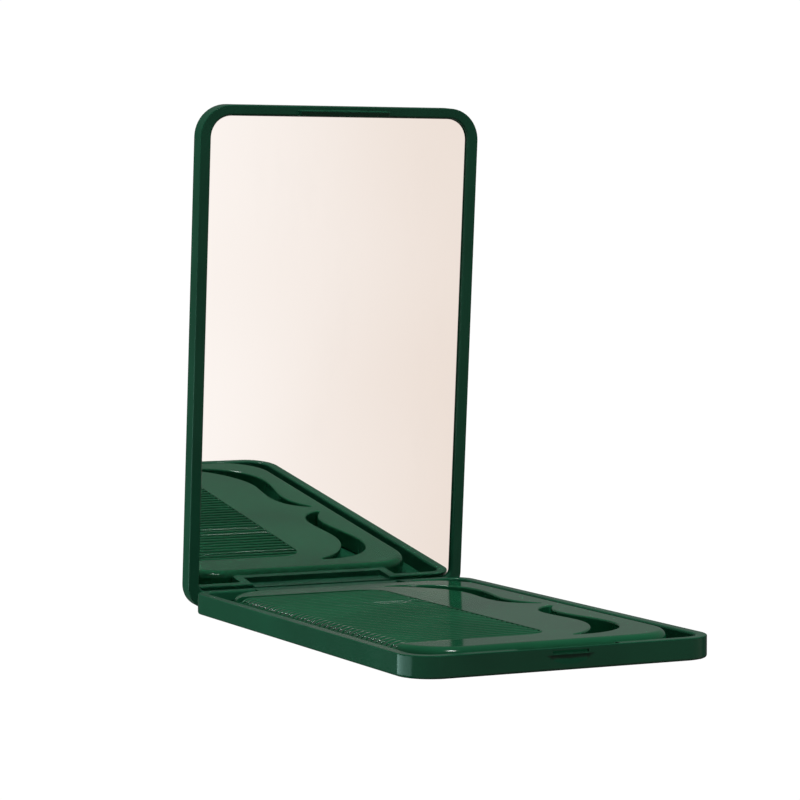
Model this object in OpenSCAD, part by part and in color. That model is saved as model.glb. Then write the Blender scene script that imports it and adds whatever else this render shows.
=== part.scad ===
// Compact mirror with comb: a folding case with a mirror in its lid and a comb in its base tray.
// Lengths are in millimetres. X runs along the hinge, Y from the front edge to the hinge, Z is up.
// The origin is the middle of the base's underside. The lid is drawn shut, then swung open.

/* [Case] */
// Width of the case, along the hinge
case_w = 63; // [56:1:72]
// Length of the case, from the front edge to the hinge edge
case_l = 104.2; // [92:0.1:120]
// Plan radius of the case's two corners at the front
corner_r = 6.7; // [5:0.1:9]
// Plan radius of the case's two corners at the hinge
heel_r = 5; // [4:0.1:8]
// Height of the base, from its underside to its rim
base_h = 4.2; // [4:0.1:5.5]
// Thickness of the lid
lid_h = 4.2; // [3.8:0.1:5.5]
// Thickness of the base's walls
wall = 2.25; // [1.5:0.05:2.6]
// Thickness of the tray's floor
floor_t = 1; // [0.9:0.05:1.5]
// Gap between the two rims when the case is shut
rim_gap = 0.5; // [0.4:0.05:0.8]
// Radius along the base's bottom edge
base_edge_r = 0.5; // [0.3:0.05:0.8]
// Radius along the outer edges of both rims
rim_edge_r = 0.2; // [0.1:0.05:0.4]
// Radius along the inner edge of the base's rim
rim_inner_r = 0.45; // [0.2:0.05:0.6]
// Radius round the edge of the lid's outer face
lid_edge_r = 0.8; // [0.4:0.05:1.2]

/* [Hinge] */
// Angle of the open lid, from shut
lid_open = 85.2; // [0:0.1:120]
// Distance from the case's hinge edge to the hinge's axis
hinge_inset = 1.82; // [1.7:0.01:2]
// Height of the hinge's axis above the base's underside
hinge_z = 1.64; // [1.55:0.01:1.8]
// Diameter of the hinge pins
pin_d = 1; // [0.8:0.05:1.2]
// Length of each of the two hinge pins
pin_l = 7; // [5:0.5:8]
// Radial running clearance of the pins in the base
pin_clear = 0.04; // [0.02:0.01:0.06]
// Width of the recess in the base for the lid's knuckle
recess_w = 31.7; // [24:0.1:40]
// Thickness of the wall round that recess
recess_wall = 2; // [1.4:0.05:2.6]
// Radius of the knuckle round the pins
knuckle_r = 1.4; // [1.2:0.05:1.5]
// Depth of the knuckle in from the case's hinge edge
knuckle_l = 3.84; // [3.4:0.02:4.4]
// Clearance at each end of the knuckle
knuckle_clear = 0.3; // [0.15:0.05:0.6]
// Clearance between the turning knuckle and the front of its recess
recess_clear = 0.75; // [0.4:0.05:1.4]
// Clearance between the base's rear edge and the lid as it swings past
swing_clear = 0.1; // [0.06:0.01:0.2]
// Radius of the recess wall's two corners in the tray
jog_r = 0.8; // [0.4:0.1:1.4]

/* [Mirror] */
// Width of the lid's frame at the sides
frame_side = 2.35; // [2:0.05:3]
// Width of the lid's frame at the free end
frame_w = 2.05; // [2:0.05:3]
// Width of the lid's frame at the hinge end
frame_heel = 3.84; // [3.8:0.02:6]
// Depth of the mirror's face below the lid's rim
mirror_recess = 0.9; // [0.4:0.02:1.1]
// Thickness of the mirror glass
mirror_t = 1.6; // [1:0.1:1.8]
// Thickness of the adhesive pad behind the mirror
pad_t = 0.4; // [0.2:0.05:0.6]
// Distance that the pad stops short of the glass's edge
pad_inset = 3; // [2:0.5:8]
// Clearance round the glass in the lid
mirror_clear = 0.12; // [0.1:0.02:0.36]
// Plan radius of the mirror opening's two corners at the hinge end
mirror_heel_r = 1.8; // [1:0.1:3]

/* [Latch] */
// Width of the lid's tongue
tongue_w = 20.2; // [16:0.2:26]
// Length of the tongue below the lid's rim
tongue_l = 1.6; // [1.5:0.05:2.1]
// Thickness of the tongue
tongue_t = 1.2; // [0.8:0.05:1.2]
// How much shorter the tongue is at its back than at its front
tongue_slope = 0.65; // [0.3:0.05:0.9]
// Clearance round the tongue in the base's notch
tongue_clear = 0.3; // [0.2:0.05:0.5]
// Thickness of the lip left in front of the notch
lip_t = 0.55; // [0.45:0.05:0.7]
// Width of the catch window in the lip
window_w = 7.4; // [5:0.2:10]
// Height of the catch window
window_h = 0.56; // [0.5:0.02:0.8]
// How far the tongue's catch stands out towards the window
catch_proud = 0.24; // [0.15:0.01:0.26]
// Width of the nail scoop at its straight top edge
scoop_w = 10; // [7:0.1:13]
// Height of the nail scoop
scoop_h = 1.95; // [1.4:0.05:2]
// Depth of the nail scoop at its top edge
scoop_depth = 0.6; // [0.4:0.05:1.1]

/* [Comb] */
// Gap between the comb and the tray's left wall, at the tips of the teeth
comb_gap_left = 0.65; // [0.3:0.05:1.5]
// Gap between the comb's back and the tray's right wall
comb_gap_right = 2.5; // [0.5:0.05:3.5]
// Gap between the comb and the tray's front wall
comb_gap_front = 1.6; // [0.6:0.1:4]
// Gap between the comb and the wall of the hinge recess
comb_gap_rear = 0.65; // [0.25:0.05:1.5]
// Gap under the comb as it lies in the tray
comb_seat = 0.05; // [0.02:0.01:0.1]
// Clearance between the comb's top and the shut mirror
comb_clear = 0.75; // [0.15:0.01:0.9]
// Plan radius of the comb's corners
comb_r = 10.5; // [7:0.5:12]
// Radius along the comb's top edges
comb_top_r = 1.6; // [1:0.1:1.8]
// Radius along the comb's bottom edges
comb_low_r = 1; // [0.5:0.1:1.2]
// Width of the comb's back, from the roots of the teeth to the outer edge
comb_back = 23.4; // [22:0.1:27]
// Length of the solid guard at each end of the teeth
guard_l = 9.2; // [8:0.1:13]
// Distance between teeth
tooth_pitch = 2.084; // [1.7:0.001:3]
// Thickness of a tooth at its root
tooth_w = 1.02; // [0.9:0.01:1.3]
// Thickness of a tooth at its tip
tooth_tip_w = 1.62; // [1.3:0.01:1.66]
// Plan radius of a tip's two corners
tooth_tip_r = 0.3; // [0.1:0.05:0.5]
// Length of the nose that slopes down to a tooth's tip
tooth_nose_l = 3; // [2:0.1:3.2]
// Radius of that nose, seen from the side
tooth_nose_r = 4; // [3.4:0.1:6]
// How far the teeth lie inside the comb's top, bottom and left edge
tooth_drop = 0.06; // [0.04:0.02:0.8]
// Radius of the toothed opening's two corners at the roots
root_r = 5; // [1.5:0.1:6]
// Distance from the comb's outer edge to the grip slots
grip_inset = 4.25; // [3.6:0.05:6]
// Reach of a grip slot across the comb's back
grip_w = 16.4; // [13:0.1:17]
// Distance from the comb's end to the tail of a grip slot
grip_end = 5.9; // [5:0.1:10]
// Half of the bridge between the two grip slots' points
grip_bridge = 2.6; // [1.2:0.1:4]

/* [Hidden] */
$fn = 64;
cut = 1;

case_green = [0.14, 0.27, 0.21];
comb_green = [0.16, 0.35, 0.26];

rear_y = case_l / 2;
rim_z = base_h;
lid_z = base_h + rim_gap;

axis_y = rear_y - hinge_inset;
swing_r = lid_z - hinge_z;
knuckle_low = hinge_z - knuckle_r;
knuckle_swing = norm([knuckle_l - hinge_inset, hinge_z - knuckle_low]);
recess_y = axis_y - knuckle_swing - recess_clear;
knuckle_w = recess_w - 2 * knuckle_clear;
jog_w = recess_w + 2 * recess_wall;
pin_end = jog_w / 2;
pin_tail = pin_end - pin_l;
pin_spare = 0.3;
jog_y = recess_y - recess_wall;

pocket_depth = mirror_recess + mirror_t + pad_t;
pocket_w = case_w - 2 * frame_side;
pocket_l = case_l - frame_w - frame_heel;
pocket_y = (frame_w - frame_heel) / 2;
pocket_r = corner_r - frame_w;
mirror_z = lid_z + mirror_recess;

front_y = -case_l / 2;
tongue_y = front_y + lip_t + tongue_clear;
tongue_z = lid_z - tongue_l;
tongue_tip_r = 0.15;
notch_w = tongue_w + 2 * tongue_clear;
notch_z = tongue_z - 0.1;
window_z = notch_z + 0.05;
scoop_z = notch_z - 0.15;
scoop_face_r = (pow(scoop_w / 2, 2) + pow(scoop_h, 2)) / (2 * scoop_h);
scoop_ball_r = scoop_ball(scoop_depth, scoop_face_r, scoop_face_r - scoop_h);

tray_w = case_w - 2 * wall;
comb_left = -tray_w / 2 + comb_gap_left;
comb_right = tray_w / 2 - comb_gap_right;
comb_front = front_y + wall + comb_gap_front;
comb_rear = jog_y - comb_gap_rear;
comb_w = comb_right - comb_left;
comb_l = comb_rear - comb_front;
comb_x = (comb_left + comb_right) / 2;
comb_y = (comb_front + comb_rear) / 2;
comb_z = floor_t + comb_seat;
comb_top = mirror_z - comb_clear;
comb_t = comb_top - comb_z;
root_x = comb_right - comb_back;
slot_w = tooth_pitch - tooth_w;
tooth_count = floor((comb_l - 2 * guard_l - slot_w) / tooth_pitch);
teeth_l = tooth_count * tooth_pitch + slot_w;
grip_l = comb_l / 2 - grip_end - grip_bridge;

// Radius of the ball that cuts a scoop of this depth, at height h above the face circle's middle
function scoop_ball(depth, face_r, h) = norm([face_r, scoop_reach(depth, face_r, h)]);
function scoop_reach(depth, face_r, h) = (pow(face_r, 2) - pow(h, 2) - pow(depth, 2)) / (2 * depth);

// Point at t on the curve with these four control points
function curve_point(p, t) =
    pow(1 - t, 3) * p[0] + 3 * t * pow(1 - t, 2) * p[1] + 3 * t * t * (1 - t) * p[2] + pow(t, 3) * p[3];
function curve(p, steps) = [for (i = [0:steps - 1]) curve_point(p, i / steps)];

// Rectangle with round corners, centred on the origin: radius r at the front, rear_r at the rear
module round_rect(w, l, r, rear_r) {
    x = w / 2;
    y = l / 2;
    polygon([
        [r - x, -y], [x - r, -y], [x, r - y], [x, y - rear_r],
        [x - rear_r, y], [rear_r - x, y], [-x, y - rear_r], [-x, r - y]
    ]);
    for (side = [-1, 1]) {
        translate([side * (x - r), r - y]) circle(r);
        translate([side * (x - rear_r), y - rear_r]) circle(rear_r);
    }
}

// Sets $half, the distance from a section's middle to its edge
module at_half(half) {
    $half = half;
    children();
}

// Child section swept round a plan with round corners: radius r at the front, rear_r at the rear
module swept(w, l, r, rear_r) {
    for (a = [0, 180]) translate([0, (r - rear_r) / 2, 0]) rotate([90, 0, a])
        linear_extrude(l - r - rear_r, center = true) at_half(w / 2) children();
    rotate([90, 0, 90]) linear_extrude(w - 2 * rear_r, center = true) at_half(l / 2) children();
    rotate([90, 0, 270]) linear_extrude(w - 2 * r, center = true) at_half(l / 2) children();
    for (side = [-1, 1]) {
        translate([side * (w / 2 - r), r - l / 2, 0]) rotate(side > 0 ? 270 : 180)
            rotate_extrude(angle = 90) at_half(r) children();
        translate([side * (w / 2 - rear_r), l / 2 - rear_r, 0]) rotate(side > 0 ? 0 : 90)
            rotate_extrude(angle = 90) at_half(rear_r) children();
    }
}

// Upright half section of a slab, from z = 0 to h, with rounded edges
module slab_section(h, low_r, top_r) {
    square([$half - max(low_r, top_r), h]);
    translate([0, low_r]) square([$half, h - low_r - top_r]);
    square([$half - low_r, low_r]);
    translate([0, h - top_r]) square([$half - top_r, top_r]);
    translate([$half - low_r, low_r]) circle(low_r);
    translate([$half - top_r, h - top_r]) circle(top_r);
}

// Upright half section of the tray's hollow, flared to round the rim's inner edge
module hollow_section() {
    translate([0, floor_t]) square([$half, base_h - floor_t + cut]);
    difference() {
        translate([0, rim_z - rim_inner_r]) square([$half + rim_inner_r, rim_inner_r + cut]);
        translate([$half + rim_inner_r, rim_z - rim_inner_r]) circle(rim_inner_r);
    }
}

// Children swung open about the hinge
module opened() {
    translate([0, axis_y, hinge_z]) rotate([-lid_open, 0, 0]) translate([0, -axis_y, -hinge_z]) children();
}

// Rod on the hinge's axis, from x = a to b
module hinge_rod(d, a, b) {
    translate([a, axis_y, hinge_z]) rotate([0, 90, 0]) cylinder(d = d, h = b - a);
}

// Plan of the block that stands in the tray round the hinge recess
module recess_plan() {
    translate([-jog_w / 2, jog_y + jog_r]) square([jog_w, rear_y]);
    translate([-jog_w / 2 + jog_r, jog_y]) square([jog_w - 2 * jog_r, rear_y]);
    for (x = [-1, 1]) translate([x * (jog_w / 2 - jog_r), jog_y + jog_r]) circle(jog_r);
}

// Hollow of the tray: it steps in round the hinge recess
module tray_hollow() {
    difference() {
        swept(tray_w, case_l - 2 * wall, corner_r - wall, heel_r - wall) hollow_section();
        translate([0, 0, -cut]) linear_extrude(base_h + 3 * cut) recess_plan();
    }
}

// What the lid's frame sweeps through as it swings past the base's rear edge
module swing_relief() {
    difference() {
        translate([-case_w / 2 - cut, axis_y, hinge_z])
            cube([case_w + 2 * cut, hinge_inset + cut, base_h - hinge_z + cut]);
        hinge_rod(2 * (swing_r - swing_clear), -case_w, case_w);
    }
}

// Bores for the pins, and the grooves in the rear wall along which they are pushed in
module pin_way() {
    bore = pin_d + 2 * pin_clear;
    end = pin_end + pin_l + pin_spare;
    hinge_rod(bore, -end, end);
    for (x = [0, 1]) mirror([x, 0, 0])
        translate([pin_end, rear_y - wall - cut, hinge_z - bore / 2])
            cube([end - pin_end, wall + cut - hinge_inset, bore]);
}

// Notch behind the front lip, where the tongue goes in; the lip's top slopes to let it in
module latch_notch() {
    slope_y = front_y + lip_t;
    rotate([90, 0, 90]) linear_extrude(notch_w, center = true)
        polygon([
            [slope_y, notch_z], [slope_y, rim_z - lip_t], [slope_y - lip_t / 2, rim_z],
            [slope_y - lip_t / 2, rim_z + cut], [front_y + wall + cut, rim_z + cut], [front_y + wall + cut, notch_z]
        ]);
}

// Window in the lip for the tongue's catch
module catch_window() {
    translate([-window_w / 2, front_y - cut, window_z]) cube([window_w, cut + lip_t + tongue_clear, window_h]);
}

// Half-moon scoop for a fingernail: a ball's cap, with its top cut straight
module nail_scoop() {
    reach = sqrt(pow(scoop_ball_r, 2) - pow(scoop_face_r, 2));
    intersection() {
        translate([0, front_y - reach, scoop_z - scoop_h + scoop_face_r]) sphere(scoop_ball_r);
        translate([-scoop_w, front_y - cut, scoop_z - 2 * scoop_h]) cube([2 * scoop_w, wall + cut, 2 * scoop_h]);
    }
}

module base_tray() {
    color(case_green) difference() {
        swept(case_w, case_l, corner_r, heel_r) slab_section(base_h, base_edge_r, rim_edge_r);
        tray_hollow();
        translate([-recess_w / 2, recess_y, -cut]) cube([recess_w, case_l, base_h + 2 * cut]);
        pin_way();
        swing_relief();
        latch_notch();
        catch_window();
        nail_scoop();
    }
}

// Knuckle under the lid's hinge end: a round barrel on the pin, joined to the frame by a block
module knuckle() {
    top = lid_z + rim_edge_r;
    rotate([90, 0, 90]) linear_extrude(knuckle_w, center = true) {
        translate([axis_y, hinge_z]) circle(knuckle_r);
        translate([rear_y - knuckle_l, knuckle_low]) square([knuckle_l - hinge_inset, top - knuckle_low]);
        translate([axis_y - knuckle_r, hinge_z]) square([2 * knuckle_r, top - hinge_z]);
    }
}

// Tongue under the lid's free end, with a sloped tip and a low catch on its front
module tongue() {
    back_y = tongue_y + tongue_t;
    root = lid_z + mirror_recess;
    tip = tongue_z + tongue_tip_r;
    catch_end = window_z + window_h - 0.1;
    rotate([90, 0, 90]) linear_extrude(tongue_w, center = true)
        polygon([
            [tongue_y + tongue_tip_r, tongue_z], [tongue_y, tip], [tongue_y, root], [back_y, root],
            [back_y, tongue_z + tongue_slope]
        ]);
    rotate([90, 0, 90]) linear_extrude(window_w - 2 * tongue_clear, center = true)
        polygon([
            [tongue_y, tip], [tongue_y - catch_proud, (tip + catch_end) / 2], [tongue_y, catch_end],
            [tongue_y + tongue_t / 2, (tip + catch_end) / 2]
        ]);
}

module lid_shell() {
    color(case_green) opened() difference() {
        union() {
            translate([0, 0, lid_z])
                swept(case_w, case_l, corner_r, heel_r) slab_section(lid_h, rim_edge_r, lid_edge_r);
            knuckle();
            tongue();
        }
        translate([0, pocket_y, lid_z - cut])
            linear_extrude(pocket_depth + cut) round_rect(pocket_w, pocket_l, pocket_r, mirror_heel_r);
        hinge_rod(pin_d, pin_tail - pin_spare, pin_end);
        hinge_rod(pin_d, -pin_end, -pin_tail + pin_spare);
    }
}

module mirror_glass() {
    w = pocket_w - 2 * mirror_clear;
    l = pocket_l - 2 * mirror_clear;
    color([0.93, 0.91, 0.88]) opened() translate([0, pocket_y, mirror_z])
        linear_extrude(mirror_t) round_rect(w, l, pocket_r - mirror_clear, mirror_heel_r - mirror_clear);
}

module adhesive_pad() {
    inset = mirror_clear + pad_inset;
    color([0.9, 0.9, 0.86]) opened() translate([0, pocket_y, mirror_z + mirror_t])
        linear_extrude(pad_t)
            square([pocket_w - 2 * inset, pocket_l - 2 * inset], center = true);
}

module hinge_pin_left() {
    color([0.76, 0.77, 0.79]) opened() hinge_rod(pin_d, -pin_end, -pin_tail);
}

module hinge_pin_right() {
    color([0.76, 0.77, 0.79]) opened() hinge_rod(pin_d, pin_tail, pin_end);
}

// Plan of the toothed opening, open on the left, with round corners at the roots
module teeth_plan() {
    l = teeth_l;
    translate([comb_left - cut, comb_y - l / 2]) square([root_x - root_r - comb_left + cut, l]);
    translate([comb_left - cut, comb_y - l / 2 + root_r]) square([root_x - comb_left + cut, l - 2 * root_r]);
    for (y = [-1, 1]) translate([root_x - root_r, comb_y + y * (l / 2 - root_r)]) circle(root_r);
}

// Plan of one tooth: it widens from its root to a blunt tip with round corners
module tooth_plan() {
    tip = comb_left + tooth_drop;
    half = tooth_tip_w / 2;
    polygon([
        [tip, tooth_tip_r - half], [tip + tooth_tip_r, -half], [root_x + cut, -tooth_w / 2],
        [root_x + cut, tooth_w / 2], [tip + tooth_tip_r, half], [tip, half - tooth_tip_r]
    ]);
    for (y = [-1, 1]) translate([tip + tooth_tip_r, y * (half - tooth_tip_r)]) circle(tooth_tip_r);
}

// Section of one tooth, seen along the tooth: round above and below
module tooth_section() {
    low = comb_z + tooth_drop + tooth_tip_w / 2;
    top = comb_top - tooth_drop - tooth_tip_w / 2;
    translate([-tooth_tip_w / 2, low]) square([tooth_tip_w, top - low]);
    for (z = [low, top]) translate([0, z]) circle(d = tooth_tip_w);
}

// Side view of the row of teeth: each slopes down to its tip in a long round nose
module teeth_side() {
    h = comb_t - 2 * tooth_drop;
    translate([root_x + cut, comb_z + tooth_drop]) mirror([1, 0])
        at_half(root_x + cut - comb_left - tooth_drop) intersection() {
            slab_section(h, comb_low_r, comb_top_r);
            union() {
                square([$half - tooth_nose_l, h]);
                translate([$half - tooth_nose_l, h - tooth_nose_r]) circle(tooth_nose_r);
            }
        }
}

module teeth() {
    intersection() {
        for (i = [0:tooth_count - 1]) translate([0, comb_y + (i - (tooth_count - 1) / 2) * tooth_pitch, 0])
            intersection() {
                translate([0, 0, comb_z]) linear_extrude(comb_t) tooth_plan();
                translate([comb_left, 0, 0]) rotate([90, 0, 90]) linear_extrude(comb_w) tooth_section();
            }
        rotate([90, 0, 0]) linear_extrude(2 * case_l, center = true) teeth_side();
    }
}

// Plan of one grip slot, in shares of its reach and length: a leaf that ends in a hook at the middle
module grip_plan() {
    reach = [grip_w, grip_l];
    steps = 12;
    outer = concat(
        curve([[0, 1], [0.48, 1.02], [0.92, 0.88], [0.92, 0.64]], steps),
        curve([[0.92, 0.64], [0.92, 0.4], [0.6, 0.21], [0.99, 0]], steps), [[0.99, 0]]);
    inner = concat(
        curve([[0.98, -0.02], [0.42, 0.08], [0.66, 0.34], [0.66, 0.54]], steps),
        curve([[0.66, 0.54], [0.66, 0.74], [0.3, 0.94], [0.02, 0.98]], steps), [[0.02, 0.98]]);
    translate([comb_right - grip_inset - grip_w, grip_bridge])
        polygon([for (p = concat(outer, inner)) [p[0] * reach[0], p[1] * reach[1]]]);
}

module comb() {
    color(comb_green) union() {
        difference() {
            translate([comb_x, comb_y, comb_z])
                swept(comb_w, comb_l, comb_r, comb_r) slab_section(comb_t, comb_low_r, comb_top_r);
            translate([0, 0, comb_z - cut]) linear_extrude(comb_t + 2 * cut) teeth_plan();
            for (y = [0, 1]) translate([0, comb_y, comb_z - cut]) mirror([0, y, 0])
                linear_extrude(comb_t + 2 * cut) grip_plan();
        }
        teeth();
    }
}

base_tray();
lid_shell();
mirror_glass();
adhesive_pad();
hinge_pin_left();
hinge_pin_right();
comb();
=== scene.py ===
"""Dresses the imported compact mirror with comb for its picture.

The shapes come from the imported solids. Each visible moulding is copied, its edges are
rounded as a mould and polishing leave them, and it gets a procedural finish. Lengths in
the classes are in millimetres; the scene itself is in metres.
"""

import logging
import math
from collections.abc import Callable, Sequence
from dataclasses import dataclass, field
from enum import Enum
from typing import Any

import bmesh
import bpy
from mathutils import Matrix, Vector


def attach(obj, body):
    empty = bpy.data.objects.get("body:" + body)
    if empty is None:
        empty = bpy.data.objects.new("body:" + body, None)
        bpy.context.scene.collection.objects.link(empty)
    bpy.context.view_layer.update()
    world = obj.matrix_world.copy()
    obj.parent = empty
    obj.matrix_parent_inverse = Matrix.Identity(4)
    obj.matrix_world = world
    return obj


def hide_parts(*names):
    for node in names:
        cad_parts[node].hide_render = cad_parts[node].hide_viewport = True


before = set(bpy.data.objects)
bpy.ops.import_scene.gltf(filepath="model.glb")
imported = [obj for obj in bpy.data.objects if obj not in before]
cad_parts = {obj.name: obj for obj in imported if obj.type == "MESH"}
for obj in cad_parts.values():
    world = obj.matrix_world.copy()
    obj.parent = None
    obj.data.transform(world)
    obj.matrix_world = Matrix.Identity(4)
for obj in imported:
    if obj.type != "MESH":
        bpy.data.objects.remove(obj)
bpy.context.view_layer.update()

LOG = logging.getLogger("compact")
MM = 0.001

Colour = tuple[float, float, float]
Triple = tuple[float, float, float]
Span = tuple[float, float]

# The middle of a noise's range, which is 0 to 1
NOISE_MIDDLE = 0.5


class Body(Enum):
    """The rigid bodies that a piece can ride on."""

    BASE = "base"
    LID = "lid"
    COMB = "comb"


class Slot(Enum):
    """The record's material slots that the dressed pieces are meant for; nothing here gives a piece its
    slot.
    """

    CASE = "case_plastic"
    COMB = "comb_plastic"
    MIRROR = "mirror"


class Tap:
    """One output of a node, with arithmetic that adds Math nodes."""

    def __init__(self, shader: "Shader", socket: bpy.types.NodeSocket) -> None:
        """Keeps the output and the shader that it belongs to.

        Args:
            shader: The node tree that new nodes go into.
            socket: The output that this tap reads.
        """
        self.shader = shader
        self.socket = socket

    def _math(self, operation: str, *values: "Tap | float") -> "Tap":
        """Adds one Math node.

        Args:
            operation: The node's operation.
            values: Its inputs, in order.

        Returns:
            The node's output.
        """
        return self.shader.add("ShaderNodeMath", {"operation": operation}, dict(enumerate(values)))

    def __add__(self, other: "Tap | float") -> "Tap":
        """Returns self + other."""
        return self._math("ADD", self, other)

    def __radd__(self, other: float) -> "Tap":
        """Returns other + self."""
        return self._math("ADD", other, self)

    def __sub__(self, other: "Tap | float") -> "Tap":
        """Returns self - other."""
        return self._math("SUBTRACT", self, other)

    def __rsub__(self, other: float) -> "Tap":
        """Returns other - self."""
        return self._math("SUBTRACT", other, self)

    def __mul__(self, other: "Tap | float") -> "Tap":
        """Returns self * other."""
        return self._math("MULTIPLY", self, other)

    def __rmul__(self, other: float) -> "Tap":
        """Returns other * self."""
        return self._math("MULTIPLY", other, self)

    def step(self, low: float, high: float) -> "Tap":
        """Rises smoothly from 0 to 1 as the value goes from low to high.

        Args:
            low: The value that gives 0.
            high: The value that gives 1; it may be below low.

        Returns:
            The mask.
        """
        return self.shader.add(
            "ShaderNodeMapRange",
            {"interpolation_type": "SMOOTHSTEP"},
            {"Value": self, "From Min": low, "From Max": high},
        )

    def blend(self, first: "Tap | Colour", second: "Tap | Colour") -> "Tap":
        """Mixes two colours, with this value as the factor.

        Args:
            first: The colour at 0.
            second: The colour at 1.

        Returns:
            The mixed colour.
        """
        return self.shader.add(
            "ShaderNodeMix", {"data_type": "RGBA"}, {0: self, 6: first, 7: second}, output=2
        )


class Shader:
    """A material's node tree, with one method that adds any node."""

    # Share of a speck's radius within which it is fully there
    speck_core = 0.4
    # How softly the lot that picks the specks switches
    lot_softness = 0.01
    edge_samples = 6

    def __init__(self, name: str) -> None:
        """Makes an empty material.

        Args:
            name: The material's name.
        """
        self.material = bpy.data.materials.new(name)
        self.material.use_nodes = True
        self.tree = self.material.node_tree
        self.tree.nodes.clear()

    @classmethod
    def of(cls, world: bpy.types.World) -> "Shader":
        """Returns a shader that works on a world's own tree, emptied."""
        shader = cls.__new__(cls)
        shader.tree = world.node_tree
        shader.tree.nodes.clear()
        return shader

    def add(
        self,
        kind: str,
        settings: dict[str, Any] | None = None,
        inputs: dict[str | int, Any] | None = None,
        output: str | int = 0,
    ) -> Tap:
        """Adds one node.

        Args:
            kind: The node's type.
            settings: Properties of the node, set first.
            inputs: Values or taps for its sockets, by name or place.
            output: The output to return.

        Returns:
            The chosen output.
        """
        node = self.tree.nodes.new(kind)
        for key, value in (settings or {}).items():
            setattr(node, key, value)
        for key, value in (inputs or {}).items():
            if isinstance(value, Tap):
                self.tree.links.new(value.socket, node.inputs[key])
            elif isinstance(value, tuple) and node.inputs[key].type == "RGBA":
                node.inputs[key].default_value = (*value, 1.0)
            else:
                node.inputs[key].default_value = value
        return Tap(self, node.outputs[output]) if len(node.outputs) else Tap(self, None)

    def place(self) -> Tap:
        """Returns the point on the piece, in millimetres."""
        point = self.add("ShaderNodeTexCoord", output="Object")
        return self.add("ShaderNodeVectorMath", {"operation": "SCALE"}, {0: point, "Scale": 1 / MM})

    def stretched(self, point: Tap, ratio: Triple) -> Tap:
        """Scales a point by a different number along each axis.

        Args:
            point: The point.
            ratio: The three numbers.

        Returns:
            The scaled point.
        """
        return self.add("ShaderNodeVectorMath", {"operation": "MULTIPLY"}, {0: point, 1: ratio})

    def noise(self, point: Tap, scale: float, detail: float = 2.0, rough: float = 0.5) -> Tap:
        """Adds a noise between 0 and 1.

        Args:
            point: Where it is read.
            scale: Waves for each millimetre.
            detail: Octaves.
            rough: How strong the finer octaves are.

        Returns:
            The noise.
        """
        return self.add(
            "ShaderNodeTexNoise",
            None,
            {"Vector": point, "Scale": scale, "Detail": detail, "Roughness": rough},
        )

    def specks(self, point: Tap, spacing: float, radius: float, share: float) -> Tap:
        """Adds a mask of scattered round specks.

        Args:
            point: Where it is read.
            spacing: Distance between possible specks, in millimetres.
            radius: A speck's radius, in millimetres.
            share: Share of the places that have one.

        Returns:
            The mask, 1 on a speck.
        """
        kind = "ShaderNodeTexVoronoi"
        sockets = {"Vector": point, "Scale": 1 / spacing}
        near = self.add(kind, None, sockets, output="Distance")
        lot = self.add("ShaderNodeSeparateColor", None, {0: self.add(kind, None, sockets, output="Color")})
        speck = near.step(radius / spacing, self.speck_core * radius / spacing)
        return speck * lot.step(1 - share, 1 - share + self.lot_softness)

    def bump(self, height: Tap, depth: float, edge: float = 0.0) -> Tap:
        """Adds a bump, over edges that are softened first.

        Args:
            height: The height, from 0 to 1.
            depth: How deep 1 is, in millimetres.
            edge: The softened edges' radius, in millimetres.

        Returns:
            The bumped normal.
        """
        sockets = {"Height": height, "Strength": 1.0, "Distance": depth * MM}
        if edge:
            sockets["Normal"] = self.add(
                "ShaderNodeBevel", {"samples": self.edge_samples}, {"Radius": edge * MM}
            )
        return self.add("ShaderNodeBump", None, sockets)

    def surface(self, inputs: dict[str | int, Any]) -> bpy.types.Material:
        """Ends the tree with a Principled shader.

        Args:
            inputs: Values or taps for its sockets.

        Returns:
            The finished material.
        """
        shader = self.add("ShaderNodeBsdfPrincipled", None, inputs)
        self.add("ShaderNodeOutputMaterial", None, {"Surface": shader})
        return self.material


@dataclass(frozen=True)
class MouldedPlastic:
    """Smooth coloured plastic as it leaves the mould, lightly handled."""

    name: str
    colour: Colour
    roughness: float
    specular: float
    tone_shift: float = 0.12
    tone_scale: float = 0.05
    tone_span: Span = (0.3, 0.7)
    flow_scale: float = 0.22
    flow_stretch: Triple = (1.0, 0.25, 1.0)
    flow_depth: float = 0.05
    smudge_scale: float = 0.11
    smudge_depth: float = 0.07
    grain_scale: float = 3.2
    grain_depth: float = 0.0003
    ripple_scale: float = 0.12
    ripple_depth: float = 0.0024
    edge_softness: float = 0.2
    dust_colour: Colour = (0.42, 0.47, 0.44)
    dust_spacing: float = 5.5
    dust_radius: float = 0.09
    dust_share: float = 0.05
    dust_cover: float = 0.8
    dust_roughness: float = 0.3

    def material(self) -> bpy.types.Material:
        """Returns the plastic's material."""
        s = Shader(self.name)
        point = s.place()
        tone = s.noise(point, self.tone_scale, detail=3.0)
        flow = s.noise(s.stretched(point, self.flow_stretch), self.flow_scale, detail=4.0, rough=0.6)
        smudge = s.noise(point, self.smudge_scale, detail=5.0, rough=0.62)
        dust = s.specks(point, self.dust_spacing, self.dust_radius, self.dust_share)
        dark = tuple(c * (1 - self.tone_shift) for c in self.colour)
        light = tuple(c * (1 + self.tone_shift) for c in self.colour)
        body = tone.step(*self.tone_span).blend(dark, light)
        colour = (dust * self.dust_cover).blend(body, self.dust_colour)
        roughness = (
            self.roughness
            + (flow - NOISE_MIDDLE) * self.flow_depth
            + (smudge - NOISE_MIDDLE) * self.smudge_depth
            + dust * self.dust_roughness
        )
        height = s.noise(point, self.grain_scale) * self.grain_depth + (
            s.noise(point, self.ripple_scale) * self.ripple_depth
        )
        return s.surface(
            {
                "Base Color": colour,
                "Roughness": roughness,
                "Specular IOR Level": self.specular,
                "Normal": s.bump(height, depth=1.0, edge=self.edge_softness),
            }
        )


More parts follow.
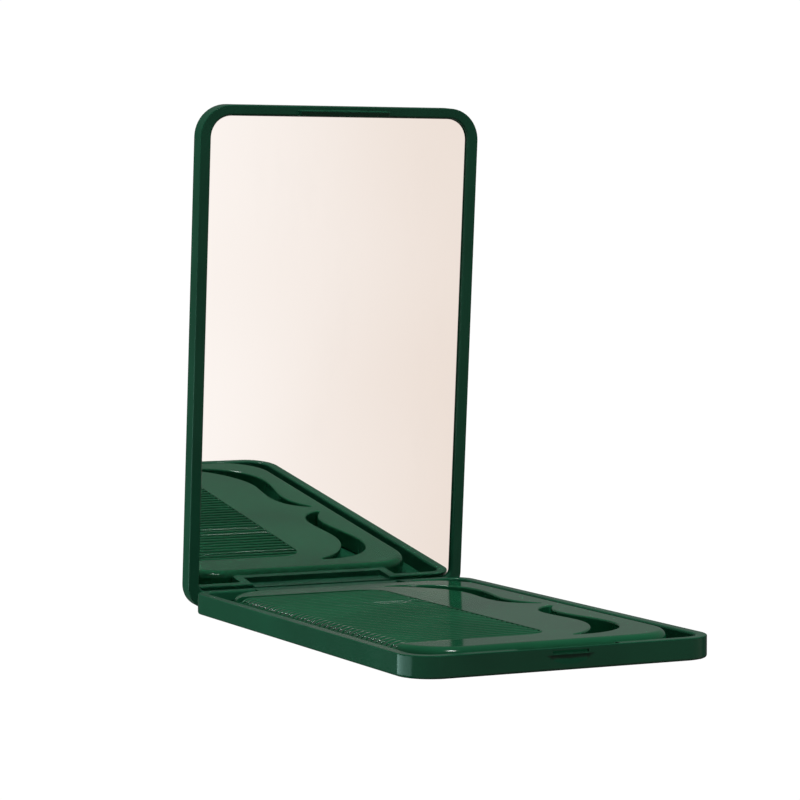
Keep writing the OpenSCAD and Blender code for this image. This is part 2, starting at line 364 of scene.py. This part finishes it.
@dataclass(frozen=True)
class Silvering:
    """The mirror's face: clean, with a faint film from wiping."""

    name: str
    colour: Colour
    roughness: float = 0.008
    film_scale: float = 0.07
    film_stretch: Triple = (1.0, 1.0, 0.35)
    film_span: Span = (0.52, 0.8)
    film_depth: float = 0.02
    haze: float = 0.018

    def material(self) -> bpy.types.Material:
        """Returns the silvering's material."""
        s = Shader(self.name)
        point = s.stretched(s.place(), self.film_stretch)
        film = s.noise(point, self.film_scale, detail=4.0, rough=0.6).step(*self.film_span)
        dim = tuple(c * (1 - self.haze) for c in self.colour)
        return s.surface(
            {
                "Base Color": film.blend(self.colour, dim),
                "Metallic": 1.0,
                "Roughness": film * self.film_depth + self.roughness,
            }
        )


@dataclass(frozen=True)
class GroundGlass:
    """The cut edge and the back of the mirror's glass."""

    name: str
    colour: Colour = (0.02, 0.045, 0.038)
    roughness: float = 0.32
    pale_ratio: float = 2.2
    grit_scale: float = 6.0
    grit_span: Span = (0.35, 0.75)
    grit_roughness: float = 0.2
    grit_depth: float = 0.006

    def material(self) -> bpy.types.Material:
        """Returns the cut glass's material."""
        s = Shader(self.name)
        grit = s.noise(s.place(), self.grit_scale, detail=3.0)
        pale = tuple(self.pale_ratio * c for c in self.colour)
        return s.surface(
            {
                "Base Color": grit.step(*self.grit_span).blend(self.colour, pale),
                "Roughness": grit * self.grit_roughness + self.roughness,
                "Normal": s.bump(grit, self.grit_depth),
            }
        )


@dataclass(frozen=True)
class DrawnWire:
    """Steel wire, with fine lines along its length."""

    name: str
    colour: Colour = (0.58, 0.58, 0.6)
    roughness: float = 0.26
    dark_ratio: float = 0.8
    line_scale: float = 9.0
    line_stretch: Triple = (0.04, 1.0, 1.0)
    line_roughness: float = 0.16
    line_depth: float = 0.002

    def material(self) -> bpy.types.Material:
        """Returns the wire's material."""
        s = Shader(self.name)
        point = s.stretched(s.place(), self.line_stretch)
        lines = s.noise(point, self.line_scale, detail=3.0, rough=0.7)
        dark = tuple(self.dark_ratio * c for c in self.colour)
        return s.surface(
            {
                "Base Color": lines.blend(dark, self.colour),
                "Metallic": 1.0,
                "Roughness": lines * self.line_roughness + self.roughness,
                "Normal": s.bump(lines, self.line_depth),
            }
        )


@dataclass(frozen=True)
class FoamTape:
    """Matt closed-cell foam, as on double-sided tape."""

    name: str
    colour: Colour = (0.72, 0.71, 0.66)
    dark_ratio: float = 0.75
    roughness: float = 0.85
    cell_size: float = 0.35
    cell_span: Span = (0.1, 0.6)
    cell_roughness: float = 0.1
    cell_depth: float = 0.05

    def material(self) -> bpy.types.Material:
        """Returns the foam's material."""
        s = Shader(self.name)
        cells = s.add(
            "ShaderNodeTexVoronoi", None, {"Vector": s.place(), "Scale": 1 / self.cell_size}, "Distance"
        )
        dark = tuple(self.dark_ratio * c for c in self.colour)
        return s.surface(
            {
                "Base Color": cells.step(*self.cell_span).blend(dark, self.colour),
                "Roughness": cells * self.cell_roughness + self.roughness,
                "Normal": s.bump(cells, self.cell_depth),
            }
        )


@dataclass(frozen=True)
class GlowingCard:
    """A card that shines softly, as lit paper seems to, and fades from one colour to another along X."""

    name: str
    colour: Colour
    far_colour: Colour
    fade: Span = (1050.0, 1450.0)
    cloud_scale: float = 0.003
    cloud_depth: float = 0.5

    def material(self) -> bpy.types.Material:
        """Returns the card's material."""
        s = Shader(self.name)
        point = s.place()
        across = s.add("ShaderNodeSeparateXYZ", None, {0: point}, "X").step(*self.fade)
        cloud = s.noise(point, self.cloud_scale, detail=1.0) - NOISE_MIDDLE
        colour = (across + cloud * self.cloud_depth).blend(self.colour, self.far_colour)
        glow = s.add("ShaderNodeEmission", None, {"Color": colour, "Strength": 1.0})
        s.add("ShaderNodeOutputMaterial", None, {"Surface": glow})
        return s.material


@dataclass(frozen=True)
class Rounding:
    """One width of edge rounding, and the edges that get it."""

    width: float
    segments: int = 3
    above: float = 30.0
    where: Callable[[Vector, Vector], bool] | None = None


class Moulding:
    """A working mesh in millimetres that ends as one piece of the scene."""

    weld = 1e-3
    flat = math.radians(0.4)
    crease = math.radians(40)

    def __init__(self, node: str) -> None:
        """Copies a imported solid, with its flat faces made whole.

        Args:
            node: The solid's name.
        """
        self.node = node
        self.mesh = bmesh.new()
        self.mesh.from_mesh(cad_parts[node].data)
        self.mesh.transform(Matrix.Scale(1 / MM, 4))
        bmesh.ops.remove_doubles(self.mesh, verts=self.mesh.verts, dist=self.weld)
        bmesh.ops.dissolve_limit(
            self.mesh, angle_limit=self.flat, verts=self.mesh.verts, edges=self.mesh.edges
        )

    def rounded(self, *steps: Rounding) -> "Moulding":
        """Rounds the sharp edges, one width after another.

        Args:
            steps: The widths, and where each applies.

        Returns:
            This moulding.
        """
        for step in steps:
            edges = [e for e in self.mesh.edges if self._chosen(e, step)]
            bmesh.ops.bevel(
                self.mesh,
                geom=edges,
                offset=step.width,
                segments=step.segments,
                profile=0.5,
                affect="EDGES",
                clamp_overlap=False,
            )
        return self

    @staticmethod
    def _chosen(edge: bmesh.types.BMEdge, step: Rounding) -> bool:
        """Tells whether a rounding applies to an edge.

        Args:
            edge: The edge.
            step: The rounding.

        Returns:
            True if the edge is sharp enough and lies where the rounding applies.
        """
        if not edge.is_manifold or edge.calc_face_angle(0.0) < math.radians(step.above):
            return False
        return step.where is None or step.where(edge.verts[0].co, edge.verts[1].co)

    def finished(
        self, name: str, body: Body, slot: Slot, *materials: bpy.types.Material
    ) -> bpy.types.Object:
        """Makes the piece.

        Args:
            name: The piece's name.
            body: The body it rides on.
            slot: The record's material slot; not used.
            materials: Its materials.

        Returns:
            The piece.
        """
        self.mesh.transform(Matrix.Scale(MM, 4))
        data = bpy.data.meshes.new(name)
        self.mesh.to_mesh(data)
        self.mesh.free()
        data.shade_smooth()
        data.set_sharp_from_angle(angle=self.crease)
        for material in materials:
            data.materials.append(material)
        piece = bpy.data.objects.new(name, data)
        bpy.context.scene.collection.objects.link(piece)
        normals = piece.modifiers.new("even_flats", "WEIGHTED_NORMAL")
        normals.mode = "FACE_AREA"
        normals.weight = 100
        normals.keep_sharp = True
        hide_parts(self.node)
        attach(piece, body.value)
        LOG.info("%s: %d faces, rides on %s", name, len(data.polygons), body.value)
        return piece


@dataclass
class Hinge:
    """Where the lid turns, and how far it stands open."""

    axis_y: float = 50.28
    axis_z: float = 1.64
    open_angle: float = 85.2

    def shut(self, point: Vector) -> Vector:
        """Turns a point of the open lid to where it is with the lid shut.

        Args:
            point: The point, in millimetres.

        Returns:
            The turned point.
        """
        axis = Vector((0, self.axis_y, self.axis_z))
        return Matrix.Rotation(math.radians(self.open_angle), 3, "X") @ (point - axis) + axis

    def opened(self, direction: Vector) -> Vector:
        """Turns a direction of the shut lid to where it points with the lid open.

        Args:
            direction: The direction.

        Returns:
            The turned direction.
        """
        return Matrix.Rotation(math.radians(-self.open_angle), 3, "X") @ direction


@dataclass
class BaseTray:
    """The base: floor, walls, hinge recess and latch front."""

    plastic: MouldedPlastic = field(
        default_factory=lambda: MouldedPlastic(
            "case_green_base", colour=(0.0088, 0.068, 0.034), roughness=0.16, specular=0.06
        )
    )

    def build(self) -> bpy.types.Object:
        """Returns the dressed base."""
        moulding = Moulding("base_tray")
        return moulding.finished("tray_moulding", Body.BASE, Slot.CASE, self.plastic.material())


@dataclass
class LidShell:
    """The lid: frame, back, knuckle and tongue."""

    hinge: Hinge = field(default_factory=Hinge)
    rim_z: float = 4.7
    lip_round: float = 0.42
    fine_round: float = 0.12
    half_width: float = 31.5
    half_length: float = 52.1
    frame_side: float = 2.35
    frame_end: float = 2.05
    frame_heel: float = 3.84
    lip_reach: float = 0.05
    lip_flush: float = 0.03
    # The same plastic as the base's, painted a little darker green: painted shade, for the lid's side that
    # gets less light than the base
    plastic: MouldedPlastic = field(
        default_factory=lambda: MouldedPlastic(
            "case_green_lid_painted_shade", colour=(0.0098, 0.062, 0.033), roughness=0.2, specular=0.04
        )
    )

    def _at_frame_lip(self, a: Vector, b: Vector) -> bool:
        """Tells whether an edge runs round the frame's opening, at its face."""
        inside = self.half_width - self.frame_side + self.lip_reach
        front = -self.half_length + self.frame_end - self.lip_reach
        rear = self.half_length - self.frame_heel - self.lip_reach
        for point in (self.hinge.shut(a), self.hinge.shut(b)):
            if abs(point.z - self.rim_z) > self.lip_flush or abs(point.x) > inside:
                return False
            if not front < point.y < rear:
                return False
        return True

    def _draw_in(self, mesh: bmesh.types.BMesh) -> None:
        """Moves the few points that the rounding leaves past the lid's outline back onto it.

        Args:
            mesh: The lid's mesh, which is changed.
        """
        rearward = self.hinge.opened(Vector((0, 1, 0)))
        for vertex in mesh.verts:
            vertex.co.x = max(-self.half_width, min(self.half_width, vertex.co.x))
            vertex.co -= rearward * max(0.0, self.hinge.shut(vertex.co).y - self.half_length)

    def build(self) -> bpy.types.Object:
        """Returns the dressed lid."""
        moulding = Moulding("lid_shell").rounded(
            Rounding(self.lip_round, segments=4, where=self._at_frame_lip),
            Rounding(self.fine_round, segments=2),
        )
        self._draw_in(moulding.mesh)
        return moulding.finished("lid_moulding", Body.LID, Slot.CASE, self.plastic.material())


@dataclass
class MirrorPlate:
    """The silvered glass, with a fine ground edge."""

    hinge: Hinge = field(default_factory=Hinge)
    face_z: float = 5.6
    flush: float = 0.01
    arris: float = 0.06
    silver: Silvering = field(default_factory=lambda: Silvering("silvering", colour=(0.95, 0.945, 0.94)))
    edge: GroundGlass = field(default_factory=lambda: GroundGlass("ground_glass"))

    def build(self) -> bpy.types.Object:
        """Returns the dressed mirror: its face is silvered, the rest is bare glass."""
        moulding = Moulding("mirror_glass").rounded(Rounding(self.arris, segments=1))
        for face in moulding.mesh.faces:
            middle = self.hinge.shut(face.calc_center_median())
            face.material_index = 0 if abs(middle.z - self.face_z) < self.flush else 1
        return moulding.finished(
            "mirror_plate", Body.LID, Slot.MIRROR, self.silver.material(), self.edge.material()
        )


@dataclass
class Comb:
    """The comb: back with two curved slots, teeth and guards."""

    slot_round: float = 0.35
    root_x: float = 3.35
    root_spare: float = 0.5
    plastic: MouldedPlastic = field(
        default_factory=lambda: MouldedPlastic(
            "comb_green", colour=(0.0062, 0.076, 0.0325), roughness=0.1, specular=0.24, edge_softness=0.3
        )
    )

    def _at_slots(self, a: Vector, b: Vector) -> bool:
        """Tells whether an edge lies on the comb's back, right of the teeth's roots."""
        return min(a.x, b.x) > self.root_x + self.root_spare

    def build(self) -> bpy.types.Object:
        """Returns the dressed comb."""
        moulding = Moulding("comb").rounded(Rounding(self.slot_round, segments=4, where=self._at_slots))
        return moulding.finished("comb_moulding", Body.COMB, Slot.COMB, self.plastic.material())


@dataclass
class HiddenParts:
    """The pins and the adhesive pad, which stay as packed."""

    wire: DrawnWire = field(default_factory=lambda: DrawnWire("pin_wire"))
    foam: FoamTape = field(default_factory=lambda: FoamTape("pad_tape"))

    def dress(self) -> None:
        """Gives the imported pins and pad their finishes."""
        wire = self.wire.material()
        foam = self.foam.material()
        for node, material in (
            ("hinge_pin_left", wire),
            ("hinge_pin_right", wire),
            ("adhesive_pad", foam),
        ):
            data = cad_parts[node].data
            data.materials.clear()
            data.materials.append(material)
            LOG.info("%s: carried over with %s", node, material.name)


@dataclass(frozen=True)
class Softbox:
    """One rectangular studio light, which faces the object's origin."""

    name: str
    place: Triple
    size: Span
    power: float
    mirrored: bool = True
    colour: Colour = (1.0, 1.0, 1.0)

    def build(self) -> None:
        """Hangs the light."""
        data = bpy.data.lights.new(self.name, "AREA")
        data.shape = "RECTANGLE"
        data.size, data.size_y = self.size
        data.energy = self.power
        data.color = self.colour
        lamp = bpy.data.objects.new(self.name, data)
        lamp.location = self.place
        lamp.rotation_mode = "QUATERNION"
        lamp.rotation_quaternion = (-Vector(self.place)).to_track_quat("-Z", "Y")
        lamp.visible_glossy = self.mirrored
        bpy.context.scene.collection.objects.link(lamp)


@dataclass
class Studio:
    """Pale ground, soft light and the camera."""

    ground: GlowingCard = field(
        default_factory=lambda: GlowingCard("pale_ground", (1.03, 1.03, 1.03), (1.03, 1.03, 1.03))
    )
    ground_radius: float = 5.0
    ground_sides: int = 96
    dome_sides: tuple[int, int] = (64, 32)
    front_card: GlowingCard = field(
        default_factory=lambda: GlowingCard("front_card", (1.04, 0.985, 0.95), (0.89, 0.785, 0.715))
    )
    card_radius: float = 3.0
    card_top: float = -0.1
    card_sides: int = 64
    sky_high: Colour = (0.165, 0.165, 0.165)
    sky_low: Colour = (0.12, 0.12, 0.12)
    horizon: Span = (-0.1, 0.0)
    lights: Sequence[Softbox] = (
        Softbox("left_strip", (-0.83, 0.38, -0.1), (1.1, 0.22), 7.4, colour=(0.62, 1.0, 0.94)),
        Softbox("key_lamp", (-0.06, -0.5, 0.87), (0.22, 0.07), 5.2),
        Softbox("top_fill", (0.1, -0.03, 1.0), (0.5, 0.5), 5.2, mirrored=False),
    )
    lens: float = 135.0
    sensor: float = 36.0
    clip: Span = (0.01, 50.0)
    camera_place: Triple = (-0.26041, -0.51947, 0.08040)
    camera_turn: float = 25.847
    camera_tilt: float = -3.416
    camera_roll: float = -0.035

    def _stand(self, name: str, mesh: bmesh.types.BMesh, card: GlowingCard) -> bpy.types.Object:
        """Puts a stage card in the scene, which lights nothing.

        Args:
            name: Its name.
            mesh: Its mesh, which is used up.
            card: Its finish.

        Returns:
            The stage object.
        """
        data = bpy.data.meshes.new(name)
        mesh.to_mesh(data)
        mesh.free()
        data.materials.append(card.material())
        thing = bpy.data.objects.new(name, data)
        thing.visible_diffuse = False
        thing.visible_transmission = False
        thing.visible_shadow = False
        bpy.context.scene.collection.objects.link(thing)
        return thing

    def _surroundings(self) -> None:
        """Lays the white ground and hangs the white backdrop, which only the camera sees."""
        flat = bmesh.new()
        bmesh.ops.create_circle(flat, cap_ends=True, segments=self.ground_sides, radius=self.ground_radius)
        dome = bmesh.new()
        u, v = self.dome_sides
        bmesh.ops.create_uvsphere(dome, u_segments=u, v_segments=v, radius=self.ground_radius)
        for name, mesh in (("ground", flat), ("backdrop", dome)):
            self._stand(name, mesh, self.ground).visible_glossy = False

    def _front_card(self) -> None:
        """Hangs a pale bowl low in front, which only the mirror and the plastic's gloss show."""
        bowl = bmesh.new()
        bmesh.ops.create_uvsphere(
            bowl, u_segments=self.card_sides, v_segments=self.card_sides, radius=self.card_radius
        )
        away = [v for v in bowl.verts if v.co.y > 0 or v.co.z > self.card_top]
        bmesh.ops.delete(bowl, geom=away, context="VERTS")
        self._stand("front_card", bowl, self.front_card).visible_camera = False

    def _sky(self) -> None:
        """Sets the even light from all round, weaker from below."""
        world = bpy.data.worlds.new("studio")
        world.use_nodes = True
        s = Shader.of(world)
        direction = s.add("ShaderNodeTexCoord", output="Generated")
        height = s.add("ShaderNodeSeparateXYZ", None, {0: direction}, "Z")
        sky = height.step(*self.horizon).blend(self.sky_low, self.sky_high)
        glow = s.add("ShaderNodeBackground", None, {"Color": sky})
        s.add("ShaderNodeOutputWorld", None, {"Surface": glow})
        bpy.context.scene.world = world

    def _camera(self) -> None:
        """Places the camera where the photograph was taken from."""
        data = bpy.data.cameras.new("camera")
        data.lens = self.lens
        data.sensor_width = self.sensor
        data.clip_start, data.clip_end = self.clip
        camera = bpy.data.objects.new("camera", data)
        turn = Matrix.Rotation(math.radians(-self.camera_turn), 4, "Z")
        tilt = Matrix.Rotation(math.radians(90 + self.camera_tilt), 4, "X")
        roll = Matrix.Rotation(math.radians(self.camera_roll), 4, "Z")
        camera.matrix_world = Matrix.Translation(self.camera_place) @ turn @ tilt @ roll
        bpy.context.scene.collection.objects.link(camera)
        bpy.context.scene.camera = camera

    def build(self) -> None:
        """Sets up the ground, the lights and the camera."""
        self._surroundings()
        self._front_card()
        self._sky()
        for light in self.lights:
            light.build()
        self._camera()
        bpy.context.scene.view_settings.view_transform = "Standard"
        bpy.context.scene.view_settings.look = "None"


def main() -> None:
    """Builds the pieces in order, then the studio."""
    logging.basicConfig(level=logging.INFO, format="%(name)s: %(message)s")
    BaseTray().build()
    Comb().build()
    LidShell().build()
    MirrorPlate().build()
    HiddenParts().dress()
    Studio().build()


if __name__ == "__main__":
    main()
